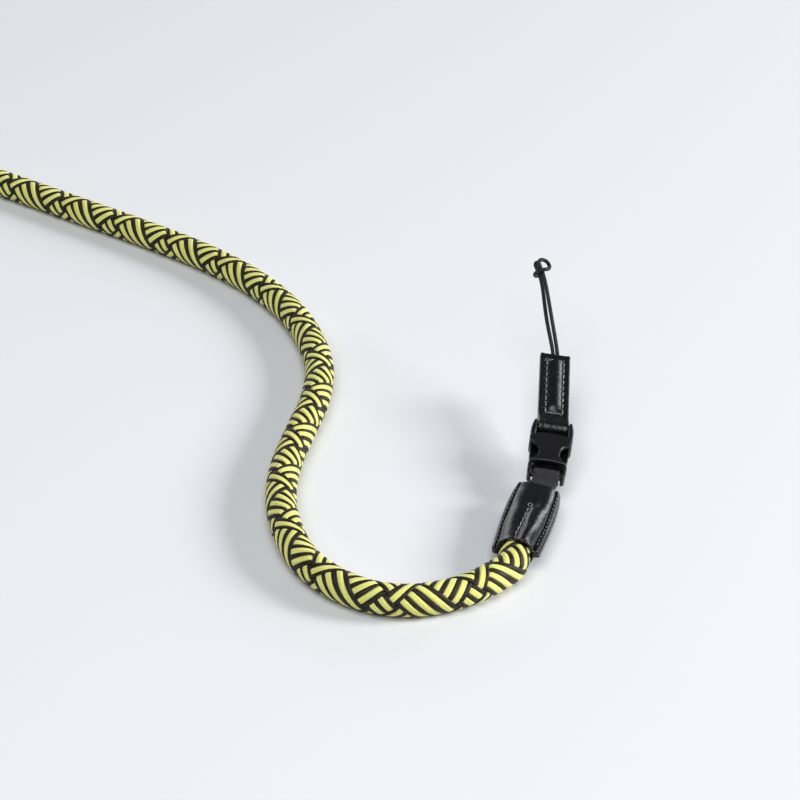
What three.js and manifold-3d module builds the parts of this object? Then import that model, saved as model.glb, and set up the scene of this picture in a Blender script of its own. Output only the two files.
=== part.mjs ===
// Braided camera strap: a round rope with a leather sleeve, a side-release buckle, a stitched leather
// tab and a thin lug cord at each end. Millimetres, +Z up. The origin is the eye of the near lug cord,
// where it hangs on a camera's ring wire; the rope and the far end lie on a table below.
import * as THREE from "three";
import { mergeVertices } from "three/addons/utils/BufferGeometryUtils.js";
import Module from "manifold-3d";

const wasm = await Module();
wasm.setup();

// ---- Driving dimensions ----
const TABLE_Z = -37; // the table's height below the eye
const CLEARANCE = 0.3; // between a sleeve's mouth and the rope's end

const ROPE = { diameter: 10, sides: 12, stepsPerSpan: 2 };
const CORD = { diameter: 1.4, sides: 8, apart: 1.5, inPocket: 3.4, stepsPerSpan: 2 };

const TAB = { width: 10, length: 35.8, leather: 1.1, eyeRadius: 1.5, pillowWidth: 5.2, pillowHeight: 4 };
const POCKET = { width: 3.7, height: 2.1, depth: 3.8 }; // in the tab's top end, round the cord's legs

// The buckle's y runs along the strap: 0 near its middle, + towards the tab, - towards the rope.
const SOCKET = {
  thickness: 6,
  bevel: 0.4,
  earTip: 4.6,
  earInside: 5.4,
  earTipWidth: 0.9,
  topEdge: -2.0,
  barY: 3.3,
  barRadius: 0.85,
  windowX: 6.9,
  windowY: -10.4,
  windowRadius: 3.2,
  mouthCorner: -14.8,
  mouthMiddle: -14.2,
};
// Half widths of the socket's outer edge, from the ear's tip down to the mouth.
const SOCKET_SIDE = [
  { y: 3.7, half: 6.5 },
  { y: 1.5, half: 6.9 },
  { y: -2.5, half: 7.05 },
  { y: -6.5, half: 6.85 },
  { y: -11, half: 6.3 },
  { y: -14.2, half: 5.9 },
];
const CAVITY = { height: 3.4, mouthHalf: 4.75, topHalf: 5.5, bend: -7.4, end: -5.8 };
const PLUG = {
  prongThickness: 2.8,
  frameThickness: 4.4,
  bevel: 0.3,
  rootTop: -13.0,
  rootBottom: -15.8,
  rootHalf: 4.4,
  shoulderTop: -15.1,
  shoulderBottom: -16.2,
  barY: -18.7,
  barRadius: 0.9,
  armTopHalf: 6.2,
  armEndHalf: 5.9,
  armInside: 4.8,
  armEnd: -20.3,
};
// One prong's outline, from its root up the outside, over the tip and down the inside.
const PRONG = [
  { x: 4.35, y: -15.2 },
  { x: 4.5, y: -12.8 },
  { x: 6.1, y: -12.5 },
  { x: 6.3, y: -11.0 },
  { x: 5.8, y: -8.9 },
  { x: 4.6, y: -6.9 },
  { x: 3.7, y: -6.5 },
  { x: 3.1, y: -7.7 },
  { x: 2.7, y: -15.2 },
];
const GUIDE = { half: 1.2, top: -7.6 };

const WEB = { width: 8.6, layer: 1.0, eyeRadius: 1.2, foldEnd: -23.0, inSleeve: 6 };
const SLEEVE = { length: 32.6, leather: 1.1, slotWidth: 9.6, slotDepth: 6.4, slotHeight: 2.8 };
// The sleeve's cross-sections from the web end (along 0) to the rope's mouth: half width over the sewn
// edges, half width of the raised middle, its height above and below the sewn edges, the sink of the
// groove that the middle row of stitches pulls in, and the level of the sewn edges below the axis.
const SLEEVE_SECTIONS = [
  { along: 0, half: 6.6, raised: 5.2, up: 2.5, down: 2.3, groove: 0.2, edge: 0 },
  { along: 5, half: 7.35, raised: 5.3, up: 3.0, down: 2.6, groove: 0.6, edge: 0.1 },
  { along: 12, half: 7.8, raised: 5.4, up: 3.8, down: 3.2, groove: 1.2, edge: 0.2 },
  { along: 19, half: 7.8, raised: 5.5, up: 4.6, down: 3.9, groove: 1.3, edge: 0.3 },
  { along: 26, half: 7.6, raised: 5.6, up: 5.2, down: 4.5, groove: 0.8, edge: 0.4 },
  { along: 32.6, half: 7.3, raised: 5.8, up: 5.7, down: 4.9, groove: 0.3, edge: 0.4 },
];
const SLEEVE_ACROSS = 14; // points across one face of a section

// ---- Where each fitting lies: yaw turns +Y towards +X, pitch lifts +Y, roll lowers +X ----
// A sleeve's twist adds to the roll at its web end and takes as much from it at its mouth.
const NEAR = {
  buckle: { at: [3.0, -65.9, -25.5], yaw: 7, pitch: 10.4, roll: 3.8 },
  tab: { yaw: 2.5, pitch: 13, roll: 7 },
  sleeve: { at: [-1.6, -91.3, -29.1], yaw: 14.2, pitch: 4.2, roll: 0.4, twist: 6 },
};
const FAR = {
  sleeve: { at: [-408.4, -36.9, -33.6], yaw: 168.5, pitch: -3.0, roll: 0, twist: 0 },
  buckle: { at: [-402.4, -61.8, -34.0], yaw: 166, pitch: 0, roll: 0 },
  tab: { yaw: 163, pitch: -1.8, roll: 0 },
};

// The rope's route on the table, between the straight ends that it has in line with the two sleeves.
const ROPE_STRAIGHT = 6;
const ROPE_ROUTE = [
  [-16.7, -135, -32],
  [-23.6, -140.9, -32],
  [-32, -145.2, -32],
  [-42, -147.5, -32],
  [-53, -146, -32],
  [-64, -139.5, -32],
  [-73, -129, -32],
  [-79, -114, -32],
  [-82, -97, -32],
  [-81.5, -79, -32],
  [-78, -59, -32],
  [-74.2, -39, -32],
  [-73.6, -20, -32],
  [-77, -3, -32],
  [-85, 17, -32],
  [-98, 36, -32],
  [-117, 54, -32],
  [-140, 70, -32],
  [-170.5, 89, -32],
  [-201.5, 108, -32],
  [-224, 121, -32],
  [-248, 131.5, -32],
  [-273, 138, -32],
  [-299, 139, -32],
  [-325, 134.5, -32],
  [-349, 125.5, -32],
  [-371, 111, -32],
  [-389, 92.5, -32],
  [-403, 71, -32],
  [-412.5, 46.5, -32],
  [-416.5, 21, -32],
];

// Half of the lark's head, from a leg up over the ring wire, back down and out to the middle of the
// front strand. up runs away from the tab, side along the wire, front away from the camera's ring.
const WIRE_DIRECTION = [0.63, -0.37, 0.68];
const KNOT_HALF = [
  { up: -8.0, side: -0.85, front: 0.0 },
  { up: -5.0, side: -0.78, front: 0.25 },
  { up: -3.0, side: -0.76, front: 0.6 },
  { up: -1.5, side: -0.78, front: 1.25 },
  { up: 0.0, side: -0.85, front: 1.74 },
  { up: 1.3, side: -0.95, front: 1.2 },
  { up: 1.76, side: -1.15, front: 0.0 },
  { up: 1.25, side: -1.6, front: -1.25 },
  { up: 0.0, side: -2.0, front: -1.75 },
  { up: -1.4, side: -2.4, front: -1.45 },
  { up: -2.5, side: -2.6, front: -0.35 },
  { up: -3.0, side: -2.35, front: 1.0 },
  { up: -3.05, side: -1.4, front: 2.0 },
];
const KNOT_MIDDLE = { up: -3.05, side: 0, front: 2.25 };
// The legs bow apart a little between the knot and the tab, at this share of the way to the tab.
const LEG_BOW = { share: 0.58, half: 0.9 };
const LEG_STUB = 1.5; // each leg leaves its tab this far in line with it
// The far lug cord's open loop, beyond the tab's end: distance from the tab and half opening.
const FAR_LOOP_HALF = [
  { beyond: 1, half: 0.75, z: -35.2 },
  { beyond: 6, half: 0.95, z: -35.9 },
  { beyond: 14, half: 2.0, z: -36.3 },
  { beyond: 24, half: 3.6, z: -36.3 },
  { beyond: 33, half: 4.4, z: -36.3 },
  { beyond: 39, half: 3.4, z: -36.3 },
];
const FAR_LOOP_TIP = 41.5;

// ---- Materials ----
const leather = () => new THREE.MeshStandardMaterial({ color: 0x17171a, roughness: 0.42, metalness: 0 });
const plastic = () => new THREE.MeshStandardMaterial({ color: 0x19191b, roughness: 0.5, metalness: 0 });
const webbing = () => new THREE.MeshStandardMaterial({ color: 0x1d1d20, roughness: 0.9, metalness: 0 });
const braid = () => new THREE.MeshStandardMaterial({ color: 0xd3dc2e, roughness: 0.8, metalness: 0 });

// ---- Solids ----
function solidOf(geometry) {
  const bare = geometry.clone();
  bare.deleteAttribute("normal");
  bare.deleteAttribute("uv");
  const merged = mergeVertices(bare, 1e-4);
  const vertProperties = new Float32Array(merged.getAttribute("position").array);
  const triVerts = new Uint32Array(merged.index.array);
  return new wasm.Manifold(new wasm.Mesh({ numProp: 3, vertProperties, triVerts }));
}

function geometryOf(solid) {
  const mesh = solid.getMesh();
  const geometry = new THREE.BufferGeometry();
  geometry.setAttribute("position", new THREE.BufferAttribute(new Float32Array(mesh.vertProperties), 3));
  geometry.setIndex(new THREE.BufferAttribute(new Uint32Array(mesh.triVerts), 1));
  const flat = geometry.toNonIndexed();
  flat.computeVertexNormals();
  return flat;
}

const joined = (...geometries) => geometries.map(solidOf).reduce((sum, solid) => sum.add(solid));
const cutBy = (solid, ...geometries) => geometries.map(solidOf).reduce((rest, cutter) => rest.subtract(cutter), solid);

// A closed solid through a row of rings of points, each ring anticlockwise seen from the last one.
function loftGeometry(rings) {
  const count = rings[0].length;
  const points = rings.flat();
  const faces = [];
  for (let r = 0; r + 1 < rings.length; r++) {
    for (let i = 0; i < count; i++) {
      const a = r * count + i;
      const b = r * count + ((i + 1) % count);
      faces.push(a, b, b + count, a, b + count, a + count);
    }
  }
  for (const [ring, start, flipped] of [
    [rings[0], 0, true],
    [rings.at(-1), (rings.length - 1) * count, false],
  ]) {
    const middle = ring.reduce((sum, p) => sum.add(p), new THREE.Vector3()).divideScalar(count);
    const hub = points.push(middle) - 1;
    for (let i = 0; i < count; i++) {
      const a = start + i;
      const b = start + ((i + 1) % count);
      faces.push(hub, flipped ? b : a, flipped ? a : b);
    }
  }
  const geometry = new THREE.BufferGeometry().setFromPoints(points);
  geometry.setIndex(faces);
  return geometry;
}

// A curve through points whose steps follow its own points, so that they are closest where it bends.
class PointSteppedCurve extends THREE.CatmullRomCurve3 {
  getPointAt(u, target) {
    return this.getPoint(u, target);
  }
  getTangentAt(u, target) {
    return this.getTangent(u, target);
  }
}

function tubeGeometry(points, { diameter, sides, stepsPerSpan }) {
  const curve = new PointSteppedCurve(points, false, "centripetal");
  const ring = Array.from({ length: sides }, (_, i) => {
    const angle = (2 * Math.PI * i) / sides;
    return new THREE.Vector2(Math.cos(angle), Math.sin(angle)).multiplyScalar(diameter / 2);
  });
  const steps = (points.length - 1) * stepsPerSpan;
  return new THREE.ExtrudeGeometry(new THREE.Shape(ring), { extrudePath: curve, steps, curveSegments: 1 });
}

// The outline as a polygon, without the doubled points where its curves join.
function polygonOf(outline) {
  const points = outline.getPoints(3);
  return new THREE.Shape(points.filter((p, i) => p.distanceTo(points.at(i - 1)) > 0.01));
}

// An outline in plan (x, y), extruded evenly about z = 0 with bevelled edges.
function slab(outline, thickness, bevel = 0) {
  const depth = thickness - 2 * bevel;
  const geometry = new THREE.ExtrudeGeometry(polygonOf(outline), {
    depth,
    bevelEnabled: bevel > 0,
    bevelThickness: bevel,
    bevelSize: bevel,
    bevelOffset: -bevel,
    bevelSegments: 1,
  });
  return geometry.translate(0, 0, -depth / 2);
}

// A side outline (y, z) extruded evenly across the strap.
function acrossStrap(outline, width) {
  const geometry = new THREE.ExtrudeGeometry(outline, { depth: width, bevelEnabled: false, curveSegments: 10 });
  const turn = new THREE.Matrix4().set(0, 0, 1, -width / 2, 1, 0, 0, 0, 0, 1, 0, 0, 0, 0, 0, 1);
  return geometry.applyMatrix4(turn);
}

const boxAt = (width, length, height, x, y, z) => new THREE.BoxGeometry(width, length, height).translate(x, y, z);

function barAcross(radius, length, y) {
  return new THREE.CylinderGeometry(radius, radius, length, 12).rotateZ(Math.PI / 2).translate(0, y, 0);
}

const mirrored = (points) => points.map(([x, y]) => [-x, y]).reverse();
const shapeOf = (points) => new THREE.Shape(points.map(([x, y]) => new THREE.Vector2(x, y)));

// ---- Placement ----
class Pose {
  constructor({ at = [0, 0, 0], yaw, pitch, roll }) {
    const rad = THREE.MathUtils.degToRad;
    this.position = new THREE.Vector3(...at);
    this.rotation = new THREE.Euler(rad(pitch), rad(roll), rad(-yaw), "ZXY");
  }
  get matrix() {
    const turn = new THREE.Quaternion().setFromEuler(this.rotation);
    return new THREE.Matrix4().compose(this.position, turn, new THREE.Vector3(1, 1, 1));
  }
  point(x, y, z) {
    return new THREE.Vector3(x, y, z).applyMatrix4(this.matrix);
  }
}

// The pose whose local point (0, y, 0) lies on a point of the strap.
function poseThrough(turn, localY, point) {
  const pose = new Pose(turn);
  const offset = pose.point(0, localY, 0);
  pose.position.copy(point).sub(offset);
  return pose;
}

function posesOf(end) {
  const buckle = new Pose(end.buckle);
  const tab = poseThrough(end.tab, tabEyeY, buckle.point(0, SOCKET.barY, 0));
  return { buckle, tab, sleeve: new Pose(end.sleeve) };
}

const strap = new THREE.Group();

function addPiece(name, geometry, material, pose) {
  const mesh = new THREE.Mesh(geometry, material);
  mesh.name = name;
  if (pose) {
    mesh.position.copy(pose.position);
    mesh.rotation.copy(pose.rotation);
  }
  strap.add(mesh);
}

// ---- Leather tab: its own y runs from the cord's end at 0 down to the fold at -length ----
const tabEyeOutside = TAB.eyeRadius + TAB.leather;
const tabEyeY = tabEyeOutside - TAB.length;

// A strip folded round a bar and laid back on itself: two flat layers that open into an eye.
function foldedStrip(topY, eyeY, layer, eyeRadius, width) {
  const outside = eyeRadius + layer;
  const open = THREE.MathUtils.degToRad(55);
  const splitY = eyeY + outside / Math.cos(open);
  const outline = new THREE.Shape();
  outline.moveTo(topY, layer);
  outline.lineTo(splitY, layer);
  outline.absarc(eyeY, 0, outside, open, 2 * Math.PI - open, false);
  outline.lineTo(splitY, -layer);
  outline.lineTo(topY, -layer);
  const eye = new THREE.Path();
  eye.moveTo(eyeY + eyeRadius / Math.cos(open), 0);
  eye.lineTo(eyeY + eyeRadius * Math.cos(open), eyeRadius * Math.sin(open));
  eye.absarc(eyeY, 0, eyeRadius, open, 2 * Math.PI - open, false);
  outline.holes.push(eye);
  return acrossStrap(outline, width);
}

// The padded middle between the rows of stitches, full at the cord's end and tapered near the fold.
function tabPillow() {
  const rows = [
    { y: -0.01, size: 1 },
    { y: -20, size: 1 },
    { y: -23, size: 0.85 },
    { y: -25.2, size: 0.5 },
  ];
  const sides = 16;
  const rings = rows.map(({ y, size }) =>
    Array.from({ length: sides }, (_, i) => {
      const angle = (2 * Math.PI * i) / sides;
      const x = (Math.cos(angle) * TAB.pillowWidth) / 2;
      return new THREE.Vector3(x, y, (Math.sin(angle) * size * TAB.pillowHeight) / 2);
    }),
  );
  return loftGeometry(rings);
}

function tabSolid() {
  const strip = foldedStrip(0, tabEyeY, TAB.leather, TAB.eyeRadius, TAB.width);
  const pocket = boxAt(POCKET.width, 2 * POCKET.depth, POCKET.height, 0, 0, 0);
  return cutBy(joined(strip, tabPillow()), pocket);
}

// ---- Buckle socket ----
function socketOutline() {
  const side = SOCKET_SIDE.map(({ y, half }) => new THREE.Vector2(half, y));
  const last = side.at(-1);
  const ear = SOCKET.earInside;
  const corner = last.x - 0.5;
  const outline = new THREE.Shape();
  outline.moveTo(ear, SOCKET.topEdge);
  outline.lineTo(-ear, SOCKET.topEdge);
  outline.lineTo(-ear, SOCKET.earTip);
  outline.lineTo(-ear - SOCKET.earTipWidth, SOCKET.earTip);
  for (const p of side) outline.lineTo(-p.x, p.y);
  outline.lineTo(-corner, SOCKET.mouthCorner);
  outline.quadraticCurveTo(0, 2 * SOCKET.mouthMiddle - SOCKET.mouthCorner, corner, SOCKET.mouthCorner);
  for (const p of side.toReversed()) outline.lineTo(p.x, p.y);
  outline.lineTo(ear + SOCKET.earTipWidth, SOCKET.earTip);
  outline.lineTo(ear, SOCKET.earTip);
  return outline;
}

function socketWindow(side) {
  return new THREE.CylinderGeometry(SOCKET.windowRadius, SOCKET.windowRadius, SOCKET.thickness + 2, 20)
    .rotateX(Math.PI / 2)
    .translate(side * SOCKET.windowX, SOCKET.windowY, 0);
}

const socketBar = () => barAcross(SOCKET.barRadius, 2 * SOCKET.earInside + 1, SOCKET.barY);
const socketBlock = () => joined(slab(socketOutline(), SOCKET.thickness, SOCKET.bevel), socketBar());

function socketSolid() {
  const right = [
    [CAVITY.mouthHalf, SOCKET.mouthCorner - 1],
    [CAVITY.topHalf, CAVITY.bend],
    [CAVITY.topHalf - 1.5, CAVITY.end],
  ];
  const cavity = slab(shapeOf([...right, ...mirrored(right)]), CAVITY.height);
  return cutBy(socketBlock(), cavity, socketWindow(-1), socketWindow(1));
}

// ---- Buckle plug ----
function plugFrameOutline() {
  const right = [
    [PLUG.armInside, PLUG.shoulderBottom],
    [PLUG.armInside - 0.05, PLUG.armEnd + 0.5],
    [PLUG.armEndHalf - 0.5, PLUG.armEnd],
    [PLUG.armEndHalf, PLUG.armEnd + 0.9],
    [PLUG.armTopHalf, PLUG.shoulderTop],
  ];
  return shapeOf([...right, ...mirrored(right)]);
}

function plugFrame() {
  const bar = barAcross(PLUG.barRadius, 2 * PLUG.armInside + 0.6, PLUG.barY);
  return joined(slab(plugFrameOutline(), PLUG.frameThickness, PLUG.bevel), bar);
}

function plugRoot() {
  const length = PLUG.rootTop - PLUG.rootBottom;
  const y = (PLUG.rootTop + PLUG.rootBottom) / 2;
  return boxAt(2 * PLUG.rootHalf, length, PLUG.prongThickness, 0, y, 0);
}

function plugSolid() {
  const prong = PRONG.map(({ x, y }) => [x, y]);
  const guideLength = GUIDE.top - PLUG.rootBottom;
  const guide = boxAt(2 * GUIDE.half, guideLength, PLUG.prongThickness, 0, GUIDE.top - guideLength / 2, 0);
  const inside = joined(
    plugRoot(),
    guide,
    slab(shapeOf(prong), PLUG.prongThickness),
    slab(shapeOf(mirrored(prong)), PLUG.prongThickness),
  );
  return plugFrame().add(inside);
}

// The far buckle is closed and plain: one solid with the same outline, bars and window notches.
function plainBuckleSolid() {
  const notches = [-1, 1].map((side) => socketWindow(side));
  const coreLength = CAVITY.end - PLUG.rootBottom;
  const core = boxAt(2 * PLUG.rootHalf, coreLength, CAVITY.height, 0, CAVITY.end - coreLength / 2, 0);
  return cutBy(socketBlock(), ...notches).add(plugFrame()).add(solidOf(core));
}

// ---- Web link: folded round the plug's bar, then a band that turns with the strap into the sleeve ----
function webRing(pose, y, inset, twist = 0) {
  const turn = THREE.MathUtils.degToRad(twist);
  const half = WEB.width / 2 - inset;
  const thick = WEB.layer - inset;
  const corners = [
    [half, -thick],
    [half, thick],
    [-half, thick],
    [-half, -thick],
  ];
  return corners.map(([x, z]) => {
    const p = new THREE.Vector3(x, 0, z).applyAxisAngle(new THREE.Vector3(0, 1, 0), turn);
    return pose.point(p.x, y, p.z);
  });
}

function webSolid(buckle, sleeve, twist) {
  const inset = 0.02; // keeps the band's faces from lying in the folded strip's
  const eye = foldedStrip(-WEB.foldEnd, -PLUG.barY, WEB.layer, WEB.eyeRadius, WEB.width).rotateZ(Math.PI);
  const band = loftGeometry([
    webRing(buckle, WEB.foldEnd + 0.5, inset),
    webRing(buckle, WEB.foldEnd, inset),
    webRing(sleeve, 0.4, inset, twist),
    webRing(sleeve, -WEB.inSleeve, inset, twist),
  ]);
  return joined(eye.applyMatrix4(buckle.matrix), band);
}

// ---- Leather sleeve: its own y runs from the web's end at 0 down to the rope's mouth at -length ----
function sleeveRing({ along, half, raised, up, down, groove, edge }, twist) {
  const turn = THREE.MathUtils.degToRad(twist * (1 - (2 * along) / SLEEVE.length));
  const face = (x, height, sink) => {
    const arch = (height - SLEEVE.leather) * Math.sqrt(Math.max(0, 1 - (x / raised) ** 2));
    const dip = sink * Math.exp(-((x / (0.28 * raised)) ** 2));
    return SLEEVE.leather + Math.max(0, arch - dip);
  };
  const xs = Array.from({ length: SLEEVE_ACROSS + 1 }, (_, i) => half - (2 * half * i) / SLEEVE_ACROSS);
  const top = xs.map((x) => new THREE.Vector3(x, -along, edge + face(x, up - edge, groove)));
  const bottom = xs.map((x) => new THREE.Vector3(x, -along, edge - face(x, down + edge, 0))).reverse();
  return [...top, ...bottom].map((p) => p.applyAxisAngle(new THREE.Vector3(0, 1, 0), turn));
}

function sleeveSolid(twist) {
  const body = loftGeometry(SLEEVE_SECTIONS.map((section) => sleeveRing(section, twist)));
  const slot = boxAt(SLEEVE.slotWidth, 2 * SLEEVE.slotDepth, SLEEVE.slotHeight, 0, 0, 0);
  slot.rotateY(THREE.MathUtils.degToRad(twist));
  return cutBy(solidOf(body), slot);
}

// ---- Lug cords ----
const legInTab = (tab, side) => [
  tab.point((side * CORD.apart) / 2, -CORD.inPocket, 0),
  tab.point((side * CORD.apart) / 2, LEG_STUB, 0),
];

// The near cord: up one leg, round the ring wire in a lark's head, and down the other leg.
function larksHeadPoints(tab) {
  const up = tab.point(0, 0, 0).negate().normalize();
  const along = new THREE.Vector3(...WIRE_DIRECTION);
  const wire = along.addScaledVector(up, -along.dot(up)).normalize();
  const front = wire.clone().cross(up);
  const across = tab.point(1, 0, 0).sub(tab.point(0, 0, 0));
  const spread = wire.clone().add(across).normalize();
  const knot = ({ up: u, side, front: f }, flip) =>
    new THREE.Vector3().addScaledVector(up, u).addScaledVector(wire, flip * side).addScaledVector(front, f);
  const half = (flip) => {
    const bow = tab.point(0, 0, 0).multiplyScalar(LEG_BOW.share);
    bow.addScaledVector(spread, -flip * LEG_BOW.half);
    return [...legInTab(tab, -flip), bow, ...KNOT_HALF.map((row) => knot(row, flip))];
  };
  return [...half(1), knot(KNOT_MIDDLE, 1), ...half(-1).reverse()];
}

// The far cord: a plain open loop that drops from the tab's end onto the table.
function openLoopPoints(tab) {
  const onTable = (x, y, z) => tab.point(x, y, 0).setZ(z);
  const half = (side) => [
    tab.point((side * CORD.apart) / 2, -CORD.inPocket, 0),
    ...FAR_LOOP_HALF.map((row) => onTable(side * row.half, row.beyond, row.z)),
  ];
  const tip = onTable(0, FAR_LOOP_TIP, TABLE_Z + CORD.diameter / 2);
  return [...half(-1), tip, ...half(1).reverse()];
}

// ---- Assembly ----
const near = posesOf(NEAR);
addPiece("lug_cord", tubeGeometry(larksHeadPoints(near.tab), CORD), webbing());
addPiece("leather_tab", geometryOf(tabSolid()), leather(), near.tab);
addPiece("buckle_socket", geometryOf(socketSolid()), plastic(), near.buckle);
addPiece("buckle_plug", geometryOf(plugSolid()), plastic(), near.buckle);
addPiece("web_link", geometryOf(webSolid(near.buckle, near.sleeve, NEAR.sleeve.twist)), webbing());
addPiece("rope_sleeve", geometryOf(sleeveSolid(NEAR.sleeve.twist)), leather(), near.sleeve);

const far = posesOf(FAR);
const beyondMouth = (sleeve, distance) => sleeve.point(0, -SLEEVE.length - distance, 0);
const ropePoints = [
  beyondMouth(near.sleeve, CLEARANCE),
  beyondMouth(near.sleeve, ROPE_STRAIGHT),
  ...ROPE_ROUTE.map((p) => new THREE.Vector3(...p)),
  beyondMouth(far.sleeve, ROPE_STRAIGHT),
  beyondMouth(far.sleeve, CLEARANCE),
];
addPiece("rope", tubeGeometry(ropePoints, ROPE), braid());

addPiece("far_rope_sleeve", geometryOf(sleeveSolid(FAR.sleeve.twist)), leather(), far.sleeve);
addPiece("far_web_link", geometryOf(webSolid(far.buckle, far.sleeve, FAR.sleeve.twist)), webbing());
addPiece("far_buckle", geometryOf(plainBuckleSolid()), plastic(), far.buckle);
addPiece("far_leather_tab", geometryOf(tabSolid()), leather(), far.tab);
addPiece("far_lug_cord", tubeGeometry(openLoopPoints(far.tab), CORD), webbing());

export default strap;
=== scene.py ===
"""Looks of the braided camera strap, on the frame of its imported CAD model.

Lengths are millimetres up to the point where a mesh or path is handed to Blender, which has metres.
"""

import math
from types import SimpleNamespace as Measures

import bmesh
import bpy
import numpy as np
from mathutils import Matrix, Vector, noise


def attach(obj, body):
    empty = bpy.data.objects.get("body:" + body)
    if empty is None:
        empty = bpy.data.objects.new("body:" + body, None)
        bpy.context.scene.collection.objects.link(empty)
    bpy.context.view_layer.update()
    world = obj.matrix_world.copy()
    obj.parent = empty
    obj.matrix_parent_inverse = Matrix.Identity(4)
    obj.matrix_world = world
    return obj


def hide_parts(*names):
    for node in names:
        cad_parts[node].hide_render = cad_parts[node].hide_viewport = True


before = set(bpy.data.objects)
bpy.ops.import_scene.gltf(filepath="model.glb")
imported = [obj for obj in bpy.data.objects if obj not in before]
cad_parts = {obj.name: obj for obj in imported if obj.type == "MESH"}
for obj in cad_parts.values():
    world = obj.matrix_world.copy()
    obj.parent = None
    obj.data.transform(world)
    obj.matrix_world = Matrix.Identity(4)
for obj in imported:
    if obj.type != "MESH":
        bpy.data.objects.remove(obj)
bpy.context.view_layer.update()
MM = 0.001
TURN = 2 * math.pi

# ---- Dimensions ----
# They are the part's source's, but for WEB.in_sleeve (6 there) and the sleeve's slot (9.6 by 2.8 there).
# ROPE.in_sleeve is the scene's own: how far the braid runs into a sleeve's mouth.
TABLE_Z = -37.0
ROPE = Measures(diameter=10.0, clearance=0.3, straight=6.0, in_sleeve=4.0)
CORD = Measures(diameter=1.4, apart=1.5, in_pocket=3.4)
TAB = Measures(width=10.0, length=35.8, leather=1.1, eye_radius=1.5, pillow_height=4.0)
SOCKET = Measures(
    thickness=6.0, ear_inside=5.4, top_edge=-2.0, bar_y=3.3, bar_radius=0.85, window_x=6.9,
    window_y=-10.4, mouth_corner=-14.8, mouth_middle=-14.2,
)
SOCKET_SIDE = [(-6.5, 6.85), (-11.0, 6.3), (-14.2, 5.9)]  # y, half width
CAVITY = Measures(height=3.4, mouth_half=4.75, top_half=5.5, bend=-7.4, end=-5.8)
PLUG = Measures(
    prong_thickness=2.8, frame_thickness=4.4, root_top=-13.0, root_bottom=-15.8, root_half=4.4,
    shoulder_top=-15.1, shoulder_bottom=-16.2, bar_y=-18.7, bar_radius=0.9, arm_top_half=6.2,
    arm_end_half=5.9, arm_inside=4.8, arm_end=-20.3,
)
GUIDE = Measures(half=1.2, top=-7.6)
WEB = Measures(width=8.6, layer=1.0, eye_radius=1.2, fold_end=-23.0, in_sleeve=5.0)
SLEEVE = Measures(length=32.6, leather=1.1, slot_half=4.75, slot_height=2.7)
SLEEVE_COLUMNS = ("along", "half", "raised", "up", "down", "groove", "edge")
SLEEVE_SECTIONS = [
    (0.0, 6.6, 5.2, 2.5, 2.3, 0.2, 0.0),
    (5.0, 7.35, 5.3, 3.0, 2.6, 0.6, 0.1),
    (12.0, 7.8, 5.4, 3.8, 3.2, 1.2, 0.2),
    (19.0, 7.8, 5.5, 4.6, 3.9, 1.3, 0.3),
    (26.0, 7.6, 5.6, 5.2, 4.5, 0.8, 0.4),
    (32.6, 7.3, 5.8, 5.7, 4.9, 0.3, 0.4),
]
ROPE_ROUTE = [  # x, y on the table
    (-16.7, -135.0), (-23.6, -140.9), (-32.0, -145.2), (-42.0, -147.5), (-53.0, -146.0),
    (-64.0, -139.5), (-73.0, -129.0), (-79.0, -114.0), (-82.0, -97.0), (-81.5, -79.0),
    (-78.0, -59.0), (-74.2, -39.0), (-73.6, -20.0), (-77.0, -3.0), (-85.0, 17.0),
    (-98.0, 36.0), (-117.0, 54.0), (-140.0, 70.0), (-170.5, 89.0), (-201.5, 108.0),
    (-224.0, 121.0), (-248.0, 131.5), (-273.0, 138.0), (-299.0, 139.0), (-325.0, 134.5),
    (-349.0, 125.5), (-371.0, 111.0), (-389.0, 92.5), (-403.0, 71.0), (-412.5, 46.5),
    (-416.5, 21.0),
]
WIRE_DIRECTION = (0.63, -0.37, 0.68)
KNOT_HALF = [  # up, side, front
    (-8.0, -0.85, 0.0), (-5.0, -0.78, 0.25), (-3.0, -0.76, 0.6), (-1.5, -0.78, 1.25),
    (0.0, -0.85, 1.74), (1.3, -0.95, 1.2), (1.76, -1.15, 0.0), (1.25, -1.6, -1.25),
    (0.0, -2.0, -1.75), (-1.4, -2.4, -1.45), (-2.5, -2.6, -0.35), (-3.0, -2.35, 1.0),
    (-3.05, -1.4, 2.0),
]
KNOT_MIDDLE = (-3.05, 0.0, 2.25)
LEG_BOW = Measures(share=0.58, half=0.9)
LEG_STUB = 1.5
FAR_LOOP_HALF = [  # beyond the tab, half opening, z
    (1.0, 0.75, -35.2), (6.0, 0.95, -35.9), (14.0, 2.0, -36.3),
    (24.0, 3.6, -36.3), (33.0, 4.4, -36.3), (39.0, 3.4, -36.3),
]
FAR_LOOP_TIP = 41.5

# ---- The braid: 12 lanes each way, each one full turn round the rope in every 25 mm ----
BRAID_TURN = 25.0
# Where each yellow strand crosses the rope's top. The other lanes are black, and lie evenly spread
# between the yellow ones.
LEFT_LAY = [293.4, None, None, 299.8, None, 304.2, None, 308.5, None, 312.9, None, None]
RIGHT_LAY = [289.6, None, 294.2, None, 298.2, None, None, 304.0, None, 308.1, None, None]
LEFT_BLOCK = (290.65, 296.6)  # the left lay's narrow bundle; the rest of its turn is the wide one
RIGHT_BLOCK = (301.3, 311.4)  # the right lay's narrow bundle
STRAND = Measures(over=4.56, under=3.95, half_thick=0.38, yellow_half=0.95, rise=0.5, core=3.72)


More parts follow.
